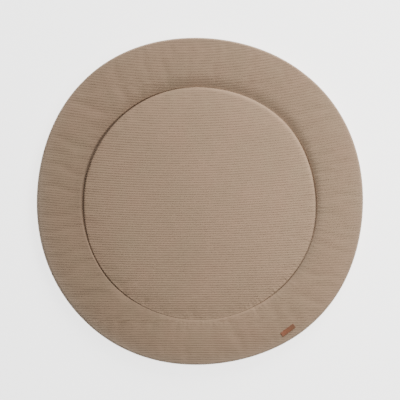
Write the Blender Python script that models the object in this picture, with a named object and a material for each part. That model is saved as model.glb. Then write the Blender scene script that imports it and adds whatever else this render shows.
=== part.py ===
"""Round padded playpen mat: a ribbed cover, quilted with one circular seam, and a small leather tag.

Units are metres, +Z is up. The mat lies on its back on the plane z = 0, and the origin is under the
middle of its outline. +Y is the side away from the tag.

A place on the mat is one number: 0 at the middle of the seam's circle, 1 on the seam, 2 on the rim.
While the mat is worked out, x and y run from the middle of the seam's circle.
"""

import math
from collections import namedtuple

import bpy
import numpy as np

# Driving sizes.
MAT_RADIUS = 0.4525
SEAM_RADIUS = 0.3206
RIB_PITCH = 0.00635
RIB_DEPTH = 0.0009

TAG_LENGTH = 0.044
TAG_WIDTH = 0.013
TAG_THICKNESS = 0.0013
TAG_CORNER = 0.0020
TAG_CLEARANCE = 0.0004
TAG_INSET = 0.0280
TAG_BEARING = math.radians(-55.3)
TAG_TURN = math.radians(36.5)

# The rim is a little uneven: waves round it, each with its height and the bearing of a crest.
Wave = namedtuple("Wave", "count height crest_deg")
RIM_WAVES = (
    Wave(count=1, height=0.0050, crest_deg=104.1),
    Wave(count=2, height=0.0010, crest_deg=-47.9),
    Wave(count=3, height=0.0018, crest_deg=0.8),
    Wave(count=4, height=0.0042, crest_deg=43.3),
    Wave(count=5, height=0.0008, crest_deg=-32.3),
    Wave(count=6, height=0.0005, crest_deg=15.1),
)

# The seam wanders a little off its circle too, and holds the cover less far down towards the foot.
SEAM_WAVES = (
    Wave(count=1, height=0.0021, crest_deg=-140.4),
    Wave(count=2, height=0.0011, crest_deg=10.9),
    Wave(count=3, height=0.0005, crest_deg=-21.3),
    Wave(count=4, height=0.0014, crest_deg=-43.0),
    Wave(count=5, height=0.0006, crest_deg=-27.7),
    Wave(count=6, height=0.0007, crest_deg=-19.6),
)
SEAM_LIFT = Wave(count=1, height=0.0046, crest_deg=-115.0)

# The section over the rib crests, from the middle to the rim, with the share of the seam's lift and of
# the full rib depth.
SEAM = 1.0
RIM = 2.0
Station = namedtuple("Station", "place height lift_share rib_share")
TOP_SECTION = (
    Station(place=0.000, height=0.0388, lift_share=0.00, rib_share=1.0),
    Station(place=0.500, height=0.0374, lift_share=0.00, rib_share=1.0),
    Station(place=0.860, height=0.0330, lift_share=0.00, rib_share=1.0),
    Station(place=0.955, height=0.0292, lift_share=0.10, rib_share=1.0),
    Station(place=0.988, height=0.0268, lift_share=0.35, rib_share=0.8),
    Station(place=1.000, height=0.0206, lift_share=1.00, rib_share=0.3),
    Station(place=1.040, height=0.0260, lift_share=0.90, rib_share=0.9),
    Station(place=1.150, height=0.0303, lift_share=0.35, rib_share=1.0),
    Station(place=1.450, height=0.0327, lift_share=0.00, rib_share=1.0),
    Station(place=1.800, height=0.0319, lift_share=0.00, rib_share=1.0),
    Station(place=1.930, height=0.0308, lift_share=0.00, rib_share=1.0),
    Station(place=1.978, height=0.0276, lift_share=0.00, rib_share=0.8),
    Station(place=2.000, height=0.0130, lift_share=0.00, rib_share=0.0),
)

# The back from the rim inwards: a rounded edge, the flat ring that it lies on, and the seam's groove.
BackStation = namedtuple("BackStation", "place height")
BACK_SECTION = (
    BackStation(place=1.940, height=0.0035),
    BackStation(place=1.860, height=0.0009),
    BackStation(place=1.760, height=0.0000),
    BackStation(place=1.060, height=0.0000),
    BackStation(place=1.000, height=0.0040),
    BackStation(place=0.955, height=0.0000),
)
BACK_SIDES = 72

# The ribs bow towards the foot of the mat, lean a little and lie further apart near its head.
BOW_AT_MIDDLE = 0.145
BOW_GROWTH = 0.50
LEAN_AT_MIDDLE = 0.018
LEAN_GROWTH = 0.055
HEAD_STRETCH = 0.44

# The filling lies unevenly: long low swells across the top.
Swell = namedtuple("Swell", "height per_metre_x per_metre_y phase_deg")
SWELLS = (
    Swell(height=0.0007, per_metre_x=2.1, per_metre_y=1.3, phase_deg=40),
    Swell(height=0.0006, per_metre_x=-1.7, per_metre_y=2.6, phase_deg=160),
    Swell(height=0.0004, per_metre_x=3.9, per_metre_y=-2.2, phase_deg=250),
)

# They fade out at the seam and at the rim.
Loft = namedtuple("Loft", "place share")
SWELL_LOFT = (
    Loft(place=0.00, share=1.0),
    Loft(place=0.90, share=1.0),
    Loft(place=1.00, share=0.0),
    Loft(place=1.10, share=1.0),
    Loft(place=1.85, share=1.0),
    Loft(place=2.00, share=0.0),
)

# Steps of the mesh: samples along a rib line, the least space between its points, steps round the rim.
RIB_REACH = 1.15 * MAT_RADIUS
SAMPLE_STEP = 0.0005
NEAREST_POINTS = 0.0016
ARC_STEP = 0.012
OUTLINE_SAMPLES = 7200
CORNER_TURNS = (0.0, 30.0, 60.0, 90.0)


def waved(radius, waves, bearing):
    """A circle's radius plus its waves, at a bearing in radians."""
    return radius + sum(w.height * np.cos(w.count * (bearing - math.radians(w.crest_deg))) for w in waves)


def rim_radius(bearing):
    """Distance from the seam's centre to the rim."""
    return waved(MAT_RADIUS, RIM_WAVES, bearing)


def seam_radius(bearing):
    """Distance from the seam's centre to the seam."""
    return waved(SEAM_RADIUS, SEAM_WAVES, bearing)


def along_section(place, table, column):
    """One column of a table of places, read between its rows."""
    return np.interp(place, [row.place for row in table], [getattr(row, column) for row in table])


def place_of(x, y):
    """Place of a point: its distance over the seam's radius, and past it the share of the border."""
    distance = np.hypot(x, y)
    bearing = np.arctan2(y, x)
    seam = seam_radius(bearing)
    outside = SEAM + (distance - seam) / (rim_radius(bearing) - seam)
    return np.where(distance < seam, distance / seam, outside)


def point_at(place, bearing):
    """The point of the plan at a place and a bearing, the reverse of place_of."""
    seam = seam_radius(bearing)
    outside = seam + (place - SEAM) * (rim_radius(bearing) - seam)
    distance = np.where(place < SEAM, place * seam, outside)
    return distance * np.cos(bearing), distance * np.sin(bearing)


def crest_height(x, y):
    """Height of the rib crests: the section at this place, the seam's lift and the filling's swells."""
    place = place_of(x, y)
    swell = 0.0
    for wave in SWELLS:
        turns = wave.per_metre_x * x + wave.per_metre_y * y
        swell = swell + wave.height * np.sin(2.0 * math.pi * turns + math.radians(wave.phase_deg))
    loft = along_section(place, SWELL_LOFT, "share")
    lift = waved(0.0, [SEAM_LIFT], np.arctan2(y, x)) * along_section(place, TOP_SECTION, "lift_share")
    return along_section(place, TOP_SECTION, "height") + lift + swell * loft


def top_height(x, y, is_valley):
    """Height of the cover on a rib's crest line, or in the valley beside it."""
    if not is_valley:
        return crest_height(x, y)
    return crest_height(x, y) - RIB_DEPTH * along_section(place_of(x, y), TOP_SECTION, "rib_share")


def rib_line(across, x):
    """The y of a rib at x, where across is its distance from the middle, measured along the cloth."""
    middle = across + 0.5 * HEAD_STRETCH * max(across, 0.0) ** 2
    lean = LEAN_AT_MIDDLE + LEAN_GROWTH * middle
    bow = BOW_AT_MIDDLE + BOW_GROWTH * middle
    return middle + lean * x + bow * x**2


def row_points(across):
    """Points along one rib line, left to right, where it crosses each station; None past the rim."""
    x = np.arange(-RIB_REACH, RIB_REACH, SAMPLE_STEP)
    y = rib_line(across, x)
    place = place_of(x, y)
    lowest = int(np.argmin(place))
    outermost_row = 0.5 * (TOP_SECTION[-2].place + RIM)
    if place[lowest] > outermost_row:
        return None
    crossings = []
    for station in TOP_SECTION[1:]:
        if station.place > place[lowest]:
            left = np.interp(-station.place, -place[: lowest + 1], x[: lowest + 1])
            right = np.interp(station.place, place[lowest:], x[lowest:])
            crossings += [left, right]
    crossings.append(x[lowest])
    kept = thinned(sorted(crossings))
    return [(px, rib_line(across, px)) for px in kept]


def thinned(values):
    """The sorted values without those too close to the one before; the two ends always stay."""
    kept = [values[0]]
    for value in values[1:-1]:
        if value - kept[-1] > NEAREST_POINTS and values[-1] - value > NEAREST_POINTS:
            kept.append(value)
    return kept + [values[-1]]


def zip_rows(lower, upper, plan):
    """Triangles between two rows of point numbers, both left to right, by the shorter diagonal."""
    faces = []
    i = j = 0
    while i < len(lower) - 1 or j < len(upper) - 1:
        can_low = i < len(lower) - 1
        can_up = j < len(upper) - 1
        low_span = math.dist(plan[lower[i + 1]], plan[upper[j]]) if can_low else math.inf
        up_span = math.dist(plan[lower[i]], plan[upper[j + 1]]) if can_up else math.inf
        if low_span <= up_span:
            faces.append((lower[i], lower[i + 1], upper[j]))
            i += 1
        else:
            faces.append((lower[i], upper[j + 1], upper[j]))
            j += 1
    return faces


class Shell:
    """Points and faces of one closed body, gathered piece by piece."""

    def __init__(self):
        self.points = []
        self.faces = []

    def add(self, x, y, z):
        """Adds a point and returns its number."""
        self.points.append((float(x), float(y), float(z)))
        return len(self.points) - 1

    def plan(self):
        """The points seen from above."""
        return [point[:2] for point in self.points]


def rim_arc(shell, first, last, turning):
    """Point numbers along the rim from one rim point to another, turning +1 anticlockwise or -1."""
    start = math.atan2(shell.points[first][1], shell.points[first][0])
    end = math.atan2(shell.points[last][1], shell.points[last][0])
    span = (turning * (end - start)) % (2.0 * math.pi)
    steps = max(2, math.ceil(span * MAT_RADIUS / ARC_STEP))
    numbers = [first]
    for step in range(1, steps):
        x, y = point_at(RIM, start + turning * span * step / steps)
        numbers.append(shell.add(x, y, TOP_SECTION[-1].height))
    return numbers + [last]


def ribbed_top(shell):
    """The cover's top as rows along rib crests and valleys; returns the rim's points anticlockwise."""
    half_pitch = 0.5 * RIB_PITCH
    rows = []
    count = math.ceil(RIB_REACH / half_pitch)
    for number in range(-count, count + 1):
        points = row_points(number * half_pitch)
        if points is not None:
            is_valley = number % 2 == 1
            rows.append([shell.add(x, y, top_height(x, y, is_valley)) for x, y in points])
    foot = rim_arc(shell, rows[0][0], rows[0][-1], turning=1)
    head = rim_arc(shell, rows[-1][0], rows[-1][-1], turning=-1)
    plan = shell.plan()
    for lower, upper in zip([foot] + rows, rows + [head]):
        strip = zip_rows(lower, upper, plan)
        shell.faces += [face for face in strip if len(set(face)) == 3]
    right = [row[-1] for row in rows[1:-1]]
    left = [row[0] for row in reversed(rows[1:-1])]
    return foot + right + head[::-1] + left


def plain_back(shell, rim):
    """The back, as rings of points from the rim inwards, closed by one flat face."""
    rings = []
    bearings = 2.0 * math.pi * np.arange(BACK_SIDES) / BACK_SIDES
    for station in BACK_SECTION:
        x, y = point_at(station.place, bearings)
        rings.append([shell.add(px, py, station.height) for px, py in zip(x, y)])
    shell.faces += zip_loops(shell, rim, rings[0])
    for outer, inner in zip(rings, rings[1:]):
        for side in range(BACK_SIDES):
            after = (side + 1) % BACK_SIDES
            shell.faces.append((outer[after], outer[side], inner[side], inner[after]))
    shell.faces.append(tuple(reversed(rings[-1])))


def zip_loops(shell, outer, inner):
    """Triangles that join two closed loops, both anticlockwise, seen from below."""
    plan = shell.plan()
    turn = {n: math.atan2(plan[n][1], plan[n][0]) % (2.0 * math.pi) for n in outer + inner}
    outer = sorted(outer, key=turn.get)
    inner = sorted(inner, key=turn.get)
    outer_turns = [turn[n] for n in outer] + [turn[outer[0]] + 2.0 * math.pi]
    inner_turns = [turn[n] for n in inner] + [turn[inner[0]] + 2.0 * math.pi]
    faces = []
    i = j = 0
    while i < len(outer) or j < len(inner):
        here = outer[i % len(outer)]
        there = inner[j % len(inner)]
        move_outer = j == len(inner) or (i < len(outer) and outer_turns[i + 1] <= inner_turns[j + 1])
        if move_outer:
            faces.append((outer[(i + 1) % len(outer)], here, there))
            i += 1
        else:
            faces.append((here, there, inner[(j + 1) % len(inner)]))
            j += 1
    return faces


def tag_half_width(along):
    """Half of the tag's width at a distance from its middle, less in the rounded corners."""
    past_corner = max(0.0, abs(along) - (0.5 * TAG_LENGTH - TAG_CORNER))
    return 0.5 * TAG_WIDTH - TAG_CORNER + math.sqrt(max(0.0, TAG_CORNER**2 - past_corner**2))


def tag_centre():
    """The plan point of the tag's middle, set in from the rim."""
    distance = rim_radius(TAG_BEARING) - TAG_INSET
    return distance * math.cos(TAG_BEARING), distance * math.sin(TAG_BEARING)


def tag_shell():
    """The leather tag: flat sections across it, one after another, that follow the border's slope."""
    shell = Shell()
    half = 0.5 * TAG_LENGTH
    corner = [half - TAG_CORNER * (1.0 - math.sin(math.radians(turn))) for turn in CORNER_TURNS]
    along_places = [-v for v in reversed(corner)] + [-0.5 * half, 0.0, 0.5 * half] + corner
    centre_x, centre_y = tag_centre()
    sections = []
    for along in along_places:
        half_width = tag_half_width(along)
        under, over = [], []
        for share in (-1.0, 0.0, 1.0):
            across = share * half_width
            x = centre_x + along * math.cos(TAG_TURN) - across * math.sin(TAG_TURN)
            y = centre_y + along * math.sin(TAG_TURN) + across * math.cos(TAG_TURN)
            z = float(crest_height(x, y)) + TAG_CLEARANCE
            under.append(shell.add(x, y, z))
            over.append(shell.add(x, y, z + TAG_THICKNESS))
        sections.append(under + over[::-1])
    for one, two in zip(sections, sections[1:]):
        for k in range(len(one)):
            after = (k + 1) % len(one)
            shell.faces.append((one[k], one[after], two[after], two[k]))
    shell.faces.append(tuple(reversed(sections[0])))
    shell.faces.append(tuple(sections[-1]))
    return shell


def mat_shell():
    """The filled mat as one closed body."""
    shell = Shell()
    rim = ribbed_top(shell)
    plain_back(shell, rim)
    return shell


def finish(name, colour, roughness):
    """A plain Principled material."""
    material = bpy.data.materials.new(name)
    material.use_nodes = True
    shader = material.node_tree.nodes["Principled BSDF"]
    shader.inputs["Base Color"].default_value = (*colour, 1.0)
    shader.inputs["Roughness"].default_value = roughness
    shader.inputs["Metallic"].default_value = 0.0
    return material


def add_object(name, shell, material, parent):
    """An object made of a shell's points and faces, under the mat's own empty."""
    mesh = bpy.data.meshes.new(name)
    mesh.from_pydata(shell.points, [], shell.faces)
    mesh.validate()
    mesh.materials.append(material)
    thing = bpy.data.objects.new(name, mesh)
    thing.parent = parent
    bpy.context.scene.collection.objects.link(thing)
    return thing


def outline_middle():
    """The middle of the rim's bounding box, seen from above."""
    x, y = point_at(RIM, 2.0 * math.pi * np.arange(OUTLINE_SAMPLES) / OUTLINE_SAMPLES)
    return 0.5 * (x.min() + x.max()), 0.5 * (y.min() + y.max())


def main():
    """Clears the scene and builds the mat and its tag, with the outline's middle at the origin."""
    for thing in list(bpy.data.objects):
        bpy.data.objects.remove(thing, do_unlink=True)
    middle_x, middle_y = outline_middle()
    carrier = bpy.data.objects.new("playpen_mat", None)
    carrier.location = (-middle_x, -middle_y, 0.0)
    bpy.context.scene.collection.objects.link(carrier)
    ribbed_cloth = finish("ribbed cloth", (0.33, 0.25, 0.185), 0.95)
    leather = finish("tan leather", (0.34, 0.13, 0.065), 0.6)
    add_object("mat", mat_shell(), ribbed_cloth, carrier)
    add_object("tag", tag_shell(), leather, carrier)


main()
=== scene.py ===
"""Dresses the round playpen mat: its ribbed cover, the quilted seam, the backing and the leather tag.

Lengths are metres and +Z is up. The mat is worked out about the middle of its seam's circle, and
set_down() moves each piece so that the middle of the mat's outline lies at the origin, as in the frame.

A place on the mat is one number: 0 at the middle of the seam's circle, 1 on the seam, 2 on the rim.
A bearing is the angle round the mat, in radians, anticlockwise from +X.
"""

import math
from collections import namedtuple

import bpy
import numpy as np
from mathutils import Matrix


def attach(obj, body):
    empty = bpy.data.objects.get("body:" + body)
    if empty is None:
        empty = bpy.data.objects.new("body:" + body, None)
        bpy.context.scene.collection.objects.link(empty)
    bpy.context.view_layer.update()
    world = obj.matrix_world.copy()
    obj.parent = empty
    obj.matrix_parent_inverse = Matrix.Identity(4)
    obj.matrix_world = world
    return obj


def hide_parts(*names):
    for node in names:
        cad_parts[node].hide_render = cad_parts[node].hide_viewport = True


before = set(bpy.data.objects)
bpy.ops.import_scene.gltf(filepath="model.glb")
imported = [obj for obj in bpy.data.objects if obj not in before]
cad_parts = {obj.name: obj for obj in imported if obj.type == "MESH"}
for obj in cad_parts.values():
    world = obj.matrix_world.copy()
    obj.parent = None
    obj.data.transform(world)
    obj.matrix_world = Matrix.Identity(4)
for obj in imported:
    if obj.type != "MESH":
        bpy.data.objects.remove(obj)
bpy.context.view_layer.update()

# A full turn, and a length too small to divide by.
WHOLE_TURN = 2.0 * math.pi
TINY = 1e-12

# The outline and the ribs. The fades are distances from the seam and from the rim.
MAT_RADIUS = 0.4525
SEAM_RADIUS = 0.3206
RIB_PITCH = 0.00635
RIB_DEPTH = 0.0007
RIB_FADE = 0.005
RIB_FADE_AT_RIM = 0.012
RIB_DEPTH_ON_BORDER = 0.78
RIB_SHARE_AT_SEAM = 0.15
SEAM = 1.0
RIM = 2.0

# The rim is a little uneven: waves round it, each with its count, height and bearing of a crest.
Wave = namedtuple("Wave", "count height crest_deg")
RIM_WAVES = (
    Wave(1, 0.0050, 104.1),
    Wave(2, 0.0010, -47.9),
    Wave(3, 0.0018, 0.8),
    Wave(4, 0.0042, 43.3),
    Wave(5, 0.0008, -32.3),
    Wave(6, 0.0005, 15.1),
)

# The seam wanders a little off its circle.
SEAM_WAVES = (
    Wave(1, 0.0021, -140.4),
    Wave(2, 0.0011, 10.9),
    Wave(3, 0.0005, -21.3),
    Wave(4, 0.0014, -43.0),
    Wave(5, 0.0006, -27.7),
    Wave(6, 0.0007, -19.6),
)

# The ribs bow towards the foot of the mat, lean a little and lie further apart near its head.
BOW_AT_MIDDLE = 0.145
BOW_GROWTH = 0.50
LEAN_AT_MIDDLE = 0.018
LEAN_GROWTH = 0.055
HEAD_STRETCH = 0.44

# One rib's section: the rows of points across it, from one valley to the next.
RibRow = namedtuple("RibRow", "phase rise")
RIB_SECTION = (
    RibRow(0.00, 0.00),
    RibRow(0.13, 0.60),
    RibRow(0.31, 0.93),
    RibRow(0.50, 1.00),
    RibRow(0.69, 0.93),
    RibRow(0.87, 0.60),
)

# The filling's height: the disc inside the seam, the border outside it and the edge at the rim.
DISC_HEIGHT = 0.0375
DISC_FALL = 0.0070
DISC_FALL_POWER = 2.0
BORDER_HEIGHT = 0.0320
BORDER_RISE = 0.045
RIM_HEIGHT = 0.0130
RIM_ROUND = 0.008
RIM_ROUND_POWER = 2.6

# How the seam holds the cloth down, round the mat: the height of its channel's floor, half of the
# floor's width and the width of the wall beside it; then the share of the rise that the wall takes and
# the width of the rounding above it, on the disc and on the border; and the height of the puckers.
Quilting = namedtuple(
    "Quilting", "bearing_deg floor channel wall disc_step disc_round border_step border_round pucker"
)
QUILTING = (
    Quilting(0, 0.0150, 0.0007, 0.0017, 0.78, 0.016, 0.30, 0.020, 0.0004),
    Quilting(20, 0.0160, 0.0004, 0.0017, 0.40, 0.020, 0.20, 0.024, 0.0006),
    Quilting(45, 0.0196, 0.0000, 0.0014, 0.00, 0.017, 0.00, 0.036, 0.0006),
    Quilting(75, 0.0206, 0.0000, 0.0014, 0.10, 0.017, 0.00, 0.039, 0.0004),
    Quilting(100, 0.0190, 0.0003, 0.0015, 0.50, 0.016, 0.06, 0.042, 0.0003),
    Quilting(125, 0.0175, 0.0007, 0.0018, 0.78, 0.014, 0.20, 0.040, 0.0002),
    Quilting(150, 0.0158, 0.0014, 0.0030, 0.86, 0.014, 0.60, 0.030, 0.0001),
    Quilting(180, 0.0222, 0.0014, 0.0032, 0.76, 0.016, 0.96, 0.016, 0.0001),
    Quilting(210, 0.0254, 0.0006, 0.0021, 0.93, 0.012, 0.90, 0.020, 0.0002),
    Quilting(240, 0.0270, 0.0004, 0.0018, 0.97, 0.014, 0.30, 0.020, 0.0003),
    Quilting(265, 0.0270, 0.0000, 0.0009, 1.00, 0.020, 0.20, 0.010, 0.0004),
    Quilting(290, 0.0266, 0.0000, 0.0009, 1.00, 0.018, 0.20, 0.010, 0.0006),
    Quilting(330, 0.0210, 0.0004, 0.0017, 0.80, 0.014, 0.40, 0.020, 0.0004),
)
DISC_ROUND_POWER = 4.0
BORDER_ROUND_POWER = 2.35

# How the cloth's look is painted round the mat: how dark the channel is, compressed pile and painted
# shade in the crease; how much lighter the disc's edge is, a painted highlight; how much darker the
# border is beside the seam, a painted shade, or lighter where that is below nought, a painted highlight;
# how much paler and greyer it is painted there, a painted tint in that shade; how much it is painted
# pale along the rim, painted light; and how clear its ribs are, the strength of the valleys' darkening.
NapAndLight = namedtuple("NapAndLight", "bearing_deg pressed brushed shade faded rubbed ribs")
NAP_AND_LIGHT = (
    NapAndLight(0, 1.00, 0.18, 0.07, 0.32, 0.25, 0.40),
    NapAndLight(20, 0.85, 0.55, 0.05, 0.32, 0.14, 0.60),
    NapAndLight(45, 0.45, 0.56, 0.03, 0.22, 0.05, 1.20),
    NapAndLight(75, 0.35, 0.46, 0.02, 0.18, 0.10, 1.35),
    NapAndLight(100, 0.55, 0.00, 0.04, 0.15, 0.14, 1.25),
    NapAndLight(125, 0.68, 0.00, 0.06, 0.03, 0.12, 0.85),
    NapAndLight(150, 0.80, 0.00, 0.19, 0.05, 0.27, 0.60),
    NapAndLight(180, 0.60, 0.00, 0.21, 0.05, 0.76, 0.50),
    NapAndLight(210, 0.12, 0.00, 0.14, 0.05, 0.68, 0.65),
    NapAndLight(240, 0.10, 0.00, 0.12, 0.03, 0.64, 0.90),
    NapAndLight(265, 0.00, 0.03, -0.09, 0.00, 0.47, 1.05),
    NapAndLight(290, 0.00, 0.05, -0.15, 0.00, 0.32, 0.95),
    NapAndLight(330, 0.85, 0.00, 0.13, 0.20, 0.14, 0.48),
)
# Reaches of the painted edge highlight, the painted shade, the painted tint and the painted light on the
# rim; the cloth's tone on the disc and the border; the ribs' clarity left at the rim; the tone's step at
# the seam.
EDGE_HIGHLIGHT_REACH = 0.004
SHADE_REACH = 0.028
GREYED_SHADE_REACH = 0.010
RIM_LIGHT_REACH = 0.015
DISC_TONE = 0.968
BORDER_TONE = 0.860
RIBS_LEFT_AT_RIM = 0.50
TONE_STEP = 0.003

# The puckers beside the seam are waves of several counts, so that no two are alike.
PuckerWave = namedtuple("PuckerWave", "count share phase")
PUCKER_WAVES = (
    PuckerWave(173, 0.50, 0.3),
    PuckerWave(211, 0.30, 1.9),
    PuckerWave(127, 0.35, 4.0),
)
PUCKER_REACH_ON_DISC = 0.006
PUCKER_REACH_ON_BORDER = 0.009

# The filling lies unevenly: long low swells across the top, in waves to the metre. They die away over
# the last share of the border.
Swell = namedtuple("Swell", "height per_metre_x per_metre_y phase_deg")
SWELLS = (
    Swell(0.0007, 2.1, 1.3, 40),
    Swell(0.0006, -1.7, 2.6, 160),
    Swell(0.0004, 3.9, -2.2, 250),
)
SWELL_FADE_AT_RIM = 0.15

# Small soft folds of the cover: ridges, or troughs where the height is below nought.
Fold = namedtuple("Fold", "x y length width turn_deg height")
FOLDS = (
    Fold(-0.203, -0.221, 0.024, 0.0050, 57, -0.0016),
    Fold(-0.188, -0.236, 0.018, 0.0070, 52, 0.0016),
    Fold(-0.152, -0.272, 0.012, 0.0045, 62, -0.0014),
    Fold(-0.020, -0.303, 0.014, 0.0060, 80, -0.0010),
    Fold(0.146, -0.284, 0.014, 0.0050, -60, -0.0012),
)

# The back, from the rim inwards: the seam tucked in under the cover's edge, the round edge, the flat it
# lies on and the groove of the quilted seam.
BackStation = namedtuple("BackStation", "place height")
BACK_SECTION = (
    BackStation(1.984, 0.0122),
    BackStation(1.990, 0.0104),
    BackStation(1.994, 0.0090),
    BackStation(1.988, 0.0068),
    BackStation(1.970, 0.0050),
    BackStation(1.940, 0.0034),
    BackStation(1.900, 0.0018),
    BackStation(1.860, 0.0008),
    BackStation(1.800, 0.0001),
    BackStation(1.740, 0.0000),
    BackStation(1.500, 0.0000),
    BackStation(1.250, 0.0000),
    BackStation(1.080, 0.0000),
    BackStation(1.050, 0.0006),
    BackStation(1.025, 0.0019),
    BackStation(1.008, 0.0036),
    BackStation(1.000, 0.0040),
    BackStation(0.996, 0.0036),
    BackStation(0.988, 0.0019),
    BackStation(0.976, 0.0006),
    BackStation(0.962, 0.0000),
    BackStation(0.800, 0.0000),
    BackStation(0.500, 0.0000),
    BackStation(0.200, 0.0000),
)
BACK_SIDES = 240

# The cover's mesh: columns along the ribs, closer near the seam, the rim and the folds. The margin
# between the outermost rows and the rim is in ribs.
COLUMNS = 104
ROW_SAMPLES = 1400
ROW_REACH = 1.15 * MAT_RADIUS
Crowding = namedtuple("Crowding", "extra reach")
NEAR_SEAM = Crowding(3.2, 0.016)
IN_CHANNEL = Crowding(9.0, 0.0035)
NEAR_RIM = Crowding(3.0, 0.012)
NEAR_FOLD = Crowding(3.0, 1.6)
SHORTEST_ROW = 0.004
ROW_MARGIN = 0.02
HALVINGS = 40
OUTLINE_SAMPLES = 7200

# The cloth simulation that fills the cover out.
FILLING_PRESSURE = 0.15
FILLING_FRAMES = 20
FILLING_CAP = 0.004
SPARE_CLOTH = -0.0008
START_FULLNESS = 0.93
DISC_RINGS = 36
BORDER_RINGS = 18
DISC_RING_POWER = 1.25
BORDER_RING_POWER = 1.20

# The tag, a strip of leather sewn on flat at both ends.
TAG_LENGTH = 0.044
TAG_WIDTH = 0.013
TAG_THICKNESS = 0.0014
TAG_CORNER = 0.0020
TAG_CLEARANCE = 0.0003
TAG_INSET = 0.0280
TAG_BEARING = math.radians(-55.3)
TAG_TURN = math.radians(36.5)
TAG_CORNER_POINTS = 8
TAG_LONG_POINTS = 14
TAG_SHORT_POINTS = 4

# The tag's section from the middle of its top to the middle of its underside: how much the outline is
# scaled and drawn in, and how high the point lies in the leather.
TagStation = namedtuple("TagStation", "scale inset height")
TAG_SECTION = (
    TagStation(0.25, 0.0000, 1.00),
    TagStation(0.50, 0.0000, 1.00),
    TagStation(0.75, 0.0000, 1.00),
    TagStation(1.00, 0.0010, 0.99),
    TagStation(1.00, 0.0005, 0.93),
    TagStation(1.00, 0.0001, 0.76),
    TagStation(1.00, 0.0000, 0.50),
    TagStation(1.00, 0.0001, 0.24),
    TagStation(1.00, 0.0005, 0.05),
    TagStation(0.75, 0.0000, 0.00),
    TagStation(0.50, 0.0000, 0.00),
    TagStation(0.25, 0.0000, 0.00),
)

# Stitches: a small sausage of thread, laid along the seam and across the tag's ends.
StitchKind = namedtuple("StitchKind", "length thickness rise")
SEAM_STITCH = StitchKind(0.0036, 0.0007, 0.0002)
TAG_STITCH = StitchKind(0.0026, 0.0007, 0.0003)
SEAM_STITCH_PITCH = 0.0046
STITCH_RINGS = 5
STITCH_SIDES = 6
TAG_STITCHES_IN_END = 3
TAG_STITCH_INSET = 0.0030
TAG_STITCH_SPAN = 0.0072


def waved(radius, waves, bearing):
    """A circle's radius plus its waves."""
    total = 0.0
    for wave in waves:
        total = total + wave.height * np.cos(wave.count * (bearing - math.radians(wave.crest_deg)))
    return radius + total


def rim_radius(bearing):
    """Distance from the seam's centre to the rim."""
    return waved(MAT_RADIUS, RIM_WAVES, bearing)


def seam_radius(bearing):
    """Distance from the seam's centre to the seam."""
    return waved(SEAM_RADIUS, SEAM_WAVES, bearing)


def evenly_round(count):
    """So many angles, evenly round a circle."""
    return WHOLE_TURN * np.arange(count) / count


def eased_step(share):
    """A step from 0 to 1 that starts and ends level."""
    return share**2 * (3.0 - 2.0 * share)


def place_of(x, y):
    """Place of a point: its distance over the seam's radius, and past it the share of the border."""
    distance = np.hypot(x, y)
    bearing = np.arctan2(y, x)
    seam = seam_radius(bearing)
    on_border = SEAM + (distance - seam) / (rim_radius(bearing) - seam)
    return np.where(distance < seam, distance / seam, on_border)


def point_at(place, bearing):
    """The plan point at a place and a bearing, the reverse of place_of."""
    seam = seam_radius(bearing)
    on_border = seam + (place - SEAM) * (rim_radius(bearing) - seam)
    distance = np.where(place < SEAM, place * seam, on_border)
    return distance * np.cos(bearing), distance * np.sin(bearing)


def past_seam(x, y):
    """Distance of a point from the seam, below nought on the disc."""
    return np.hypot(x, y) - seam_radius(np.arctan2(y, x))


def outline_middle():
    """The middle of the rim's bounding box, seen from above."""
    x, y = point_at(RIM, evenly_round(OUTLINE_SAMPLES))
    return 0.5 * (x.min() + x.max()), 0.5 * (y.min() + y.max())


def rib_line(across, x):
    """The y of a rib at x: its distance from the middle along the cloth, leaned and bowed."""
    middle = across + 0.5 * HEAD_STRETCH * np.maximum(across, 0.0) ** 2
    lean = LEAN_AT_MIDDLE + LEAN_GROWTH * middle
    bow = BOW_AT_MIDDLE + BOW_GROWTH * middle
    return middle + lean * x + bow * x**2


def rib_across(x, y):
    """The reverse of rib_line: how far across the cloth the rib through a point lies."""
    middle = y - LEAN_AT_MIDDLE * x - BOW_AT_MIDDLE * x**2
    middle = middle / (1.0 + LEAN_GROWTH * x + BOW_GROWTH * x**2)
    stretched = (np.sqrt(1.0 + 2.0 * HEAD_STRETCH * np.maximum(middle, 0.0)) - 1.0) / HEAD_STRETCH
    return np.where(middle > 0.0, stretched, middle)


def round_mat(table, column, bearing):
    """A column of a table of bearings, read between its rows with an eased step."""
    turned = np.degrees(bearing) % 360.0
    turns = np.array([row.bearing_deg for row in table] + [360.0])
    values = np.array([getattr(row, column) for row in table] + [getattr(table[0], column)])
    before = np.clip(np.searchsorted(turns, turned, side="right") - 1, 0, len(table) - 1)
    share = (turned - turns[before]) / (turns[before + 1] - turns[before])
    return values[before] + eased_step(share) * (values[before + 1] - values[before])


def beside_seam(x, y):
    """A point's bearing, its distance past the seam and how far it lies from the channel's floor."""
    bearing = np.arctan2(y, x)
    past = past_seam(x, y)
    return bearing, past, np.maximum(np.abs(past) - round_mat(QUILTING, "channel", bearing), 0.0)


def round_over(share, power):
    """A quarter of a superellipse: 0 and upright at share 0, level at share 1 and past it."""
    left = 1.0 - np.clip(share, 0.0, 1.0)
    return (1.0 - left**power) ** (1.0 / power)


def body_height(place, bearing):
    """Height of the filled cover before the seam is sewn: a low dome, an arch round it, a round edge."""
    dome = DISC_HEIGHT - DISC_FALL * np.clip(place, 0.0, 1.0) ** DISC_FALL_POWER
    arch = BORDER_HEIGHT * (1.0 + BORDER_RISE * np.clip(place - SEAM, 0.0, 1.0) ** 2)
    to_rim = (RIM - place) * (rim_radius(bearing) - seam_radius(bearing))
    edge = RIM_HEIGHT + (arch - RIM_HEIGHT) * round_over(to_rim / RIM_ROUND, RIM_ROUND_POWER)
    return np.where(place < SEAM, dome, edge)


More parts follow.
